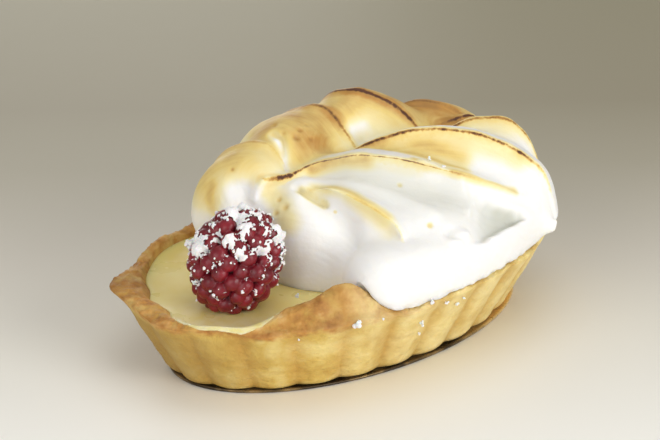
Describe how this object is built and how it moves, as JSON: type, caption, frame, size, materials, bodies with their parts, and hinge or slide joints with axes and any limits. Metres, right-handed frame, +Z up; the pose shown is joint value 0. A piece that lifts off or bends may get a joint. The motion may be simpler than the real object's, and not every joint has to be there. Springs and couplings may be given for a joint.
{
  "type": "lemon meringue pie",
  "caption": "Small oval lemon meringue pie: fluted pastry shell with lemon curd, folded browned meringue and a raspberry, on its thin oval card.",
  "frame": {"origin": "middle of the flat underside of the oval card, on the table", "axes": "+X along the oval's long axis, away from the raspberry end; +Y across it; +Z up"},
  "size_m": [0.1132, 0.0712, 0.049],
  "materials": {
    "card": "shiny gold-brown laminated card",
    "pastry": "baked shortcrust, golden wall and browned rim",
    "curd": "pale yellow lemon curd, soft gloss",
    "meringue": "white soft meringue, browned along the folds",
    "raspberry": "crimson berry dusted with icing sugar"
  },
  "bodies": {
    "root": {"base_card": "card", "crust": "pastry", "lemon_curd": "curd", "meringue": "meringue", "raspberry": "raspberry"}
  },
  "joints": []
}
